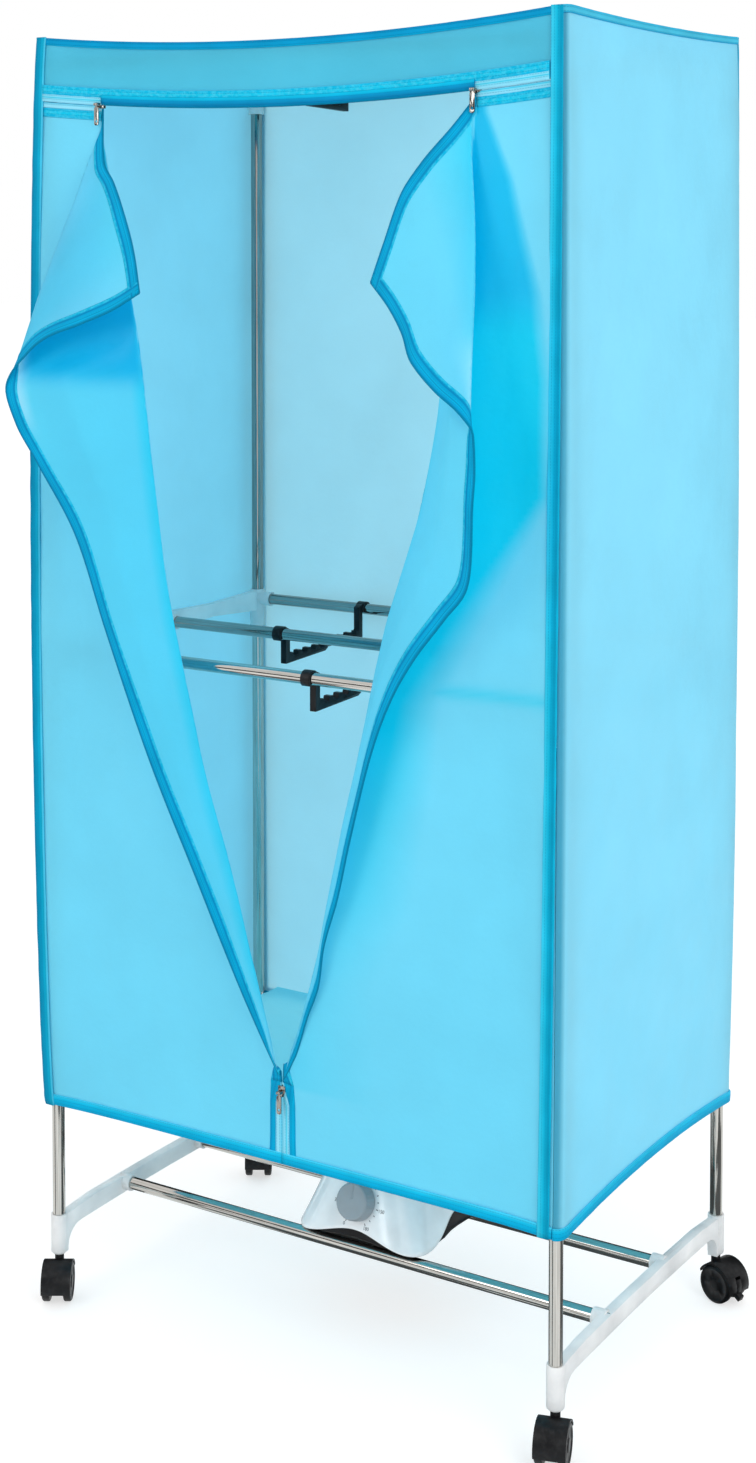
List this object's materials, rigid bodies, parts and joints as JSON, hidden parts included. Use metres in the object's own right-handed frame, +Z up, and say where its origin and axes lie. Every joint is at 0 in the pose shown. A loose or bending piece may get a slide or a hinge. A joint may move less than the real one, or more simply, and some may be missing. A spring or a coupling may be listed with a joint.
{
  "type": "portable clothes dryer",
  "caption": "Free-standing cloth drying cabin on a castored tube stand, with a zipped door hanging open, a fan heater below, hanging rods and hanger hooks.",
  "frame": {"origin": "On the floor, under the middle of the whole dryer.", "axes": "+Z up, -Y towards the front with the door and the timer knob, +X to the right seen from the front."},
  "size_m": [0.7285, 0.5383, 1.5],
  "materials": {
    "steel": "bright stainless tube",
    "zinc": "plated zinc",
    "white": "white moulded plastic",
    "shell": "glossy white plastic",
    "black": "black moulded plastic",
    "grey": "grey plastic",
    "cloth": "thin translucent blue woven cloth",
    "ceramic": "ceramic heating block",
    "motor": "pressed steel motor case"
  },
  "bodies": {
    "stand": {"castor_stem_back_left": "steel", "castor_stem_back_right": "steel", "castor_stem_front_left": "steel", "castor_stem_front_right": "steel", "cover_back": "cloth", "cover_door_left": "cloth", "cover_door_right": "cloth", "cover_floor": "cloth", "cover_side_left": "cloth", "cover_side_right": "cloth", "cover_top": "cloth", "cross_tube_back": "steel", "cross_tube_front": "steel", "heater_base": "black", "heater_element": "ceramic", "heater_grille": "black", "heater_motor": "motor", "heater_shell": "shell", "heater_timer": "white", "leg_left": "white", "leg_right": "white", "lower_post_back_left": "steel", "lower_post_back_right": "steel", "lower_post_front_left": "steel", "lower_post_front_right": "steel", "mid_bar_left": "white", "mid_bar_right": "white", "mid_rod_back": "steel", "mid_rod_front": "steel", "mid_rod_middle": "steel", "top_bar_left": "white", "top_bar_right": "white", "top_rod_back": "steel", "top_rod_front": "steel", "top_rod_middle": "steel", "upper_post_back_left": "steel", "upper_post_back_right": "steel", "upper_post_front_left": "steel", "upper_post_front_right": "steel"},
    "castor_front_left": {"castor_hood_front_left": "black"},
    "wheels_front_left": {"castor_wheels_front_left": "black"},
    "castor_front_right": {"castor_hood_front_right": "black"},
    "wheels_front_right": {"castor_wheels_front_right": "black"},
    "castor_back_left": {"castor_hood_back_left": "black"},
    "wheels_back_left": {"castor_wheels_back_left": "black"},
    "castor_back_right": {"castor_hood_back_right": "black"},
    "wheels_back_right": {"castor_wheels_back_right": "black"},
    "brake": {"castor_brake_back_right": "black"},
    "knob": {"timer_knob": "grey"},
    "fan": {"heater_fan": "black"},
    "hook_front": {"hook_front": "black"},
    "hook_middle": {"hook_middle": "black"},
    "hook_back": {"hook_back": "black"},
    "hook_top": {"hook_top": "black"},
    "slider_left": {"zip_slider_left": "zinc"},
    "pull_left": {"zip_pull_left": "zinc"},
    "slider_right": {"zip_slider_right": "zinc"},
    "pull_right": {"zip_pull_right": "zinc"},
    "slider_lower": {"zip_slider_lower": "zinc"},
    "pull_lower": {"zip_pull_lower": "zinc"}
  },
  "joints": [
    {"name": "swivel_front_left", "type": "hinge", "parent": "stand", "child": "castor_front_left", "pos_m": [-0.346, -0.165, 0.052], "axis": [0, 0, 1], "continuous": true},
    {"name": "roll_front_left", "type": "hinge", "parent": "castor_front_left", "child": "wheels_front_left", "pos_m": [-0.33964, -0.17518, 0.02222], "axis": [0.848, 0.5299, 0], "continuous": true},
    {"name": "swivel_front_right", "type": "hinge", "parent": "stand", "child": "castor_front_right", "pos_m": [0.322, -0.165, 0.052], "axis": [0, 0, 1], "continuous": true},
    {"name": "roll_front_right", "type": "hinge", "parent": "castor_front_right", "child": "wheels_front_right", "pos_m": [0.32551, -0.17648, 0.02222], "axis": [0.9563, 0.2924, 0], "continuous": true},
    {"name": "swivel_back_left", "type": "hinge", "parent": "stand", "child": "castor_back_left", "pos_m": [-0.346, 0.251, 0.052], "axis": [0, 0, 1], "continuous": true},
    {"name": "roll_back_left", "type": "hinge", "parent": "castor_back_left", "child": "wheels_back_left", "pos_m": [-0.33964, 0.24082, 0.02222], "axis": [0.848, 0.5299, 0], "continuous": true},
    {"name": "swivel_back_right", "type": "hinge", "parent": "stand", "child": "castor_back_right", "pos_m": [0.322, 0.251, 0.052], "axis": [0, 0, 1], "continuous": true},
    {"name": "roll_back_right", "type": "hinge", "parent": "castor_back_right", "child": "wheels_back_right", "pos_m": [0.33348, 0.24749, 0.02222], "axis": [0.2924, 0.9563, 0], "continuous": true},
    {"name": "brake_press", "type": "hinge", "parent": "castor_back_right", "child": "brake", "pos_m": [0.35366, 0.24132, 0.02748], "axis": [0.2924, 0.9563, 0], "range_deg": [0, 8]},
    {"name": "timer_turn", "type": "hinge", "parent": "stand", "child": "knob", "pos_m": [0.005, -0.04688, 0.153], "axis": [0, 0.9502, -0.3116], "range_deg": [0, 300]},
    {"name": "fan_spin", "type": "hinge", "parent": "stand", "child": "fan", "pos_m": [0.005, 0.031, 0.139], "axis": [0, 0, 1], "continuous": true},
    {"name": "hook_front_slide", "type": "slide", "parent": "stand", "child": "hook_front", "axis": [1, 0, 0], "range_m": [-0.3322, 0.2768]},
    {"name": "hook_middle_slide", "type": "slide", "parent": "stand", "child": "hook_middle", "axis": [1, 0, 0], "range_m": [-0.1502, 0.4588]},
    {"name": "hook_back_slide", "type": "slide", "parent": "stand", "child": "hook_back", "axis": [1, 0, 0], "range_m": [-0.1378, 0.4712]},
    {"name": "hook_top_slide", "type": "slide", "parent": "stand", "child": "hook_top", "axis": [1, 0, 0], "range_m": [-0.1168, 0.4922]},
    {"name": "zip_left", "type": "slide", "parent": "stand", "child": "slider_left", "axis": [-0.9962, 0, 0.0874], "range_m": [0, 0.0672]},
    {"name": "zip_right", "type": "slide", "parent": "stand", "child": "slider_right", "axis": [0.9963, 0, 0.0863], "range_m": [0, 0.0741]},
    {"name": "zip_lower", "type": "slide", "parent": "stand", "child": "slider_lower", "axis": [0, 0, 1], "range_m": [-0.074, 0]},
    {"name": "pull_left_swing", "type": "hinge", "parent": "slider_left", "child": "pull_left", "pos_m": [-0.26159, -0.1849, 1.41905], "axis": [-1, 0, 0], "range_deg": [0, 150]},
    {"name": "pull_right_swing", "type": "hinge", "parent": "slider_right", "child": "pull_right", "pos_m": [0.23066, -0.1849, 1.41852], "axis": [-1, 0, 0], "range_deg": [0, 150]},
    {"name": "pull_lower_swing", "type": "hinge", "parent": "slider_lower", "child": "pull_lower", "pos_m": [-0.012, -0.1849, 0.32305], "axis": [-1, 0, 0], "range_deg": [0, 150]}
  ]
}
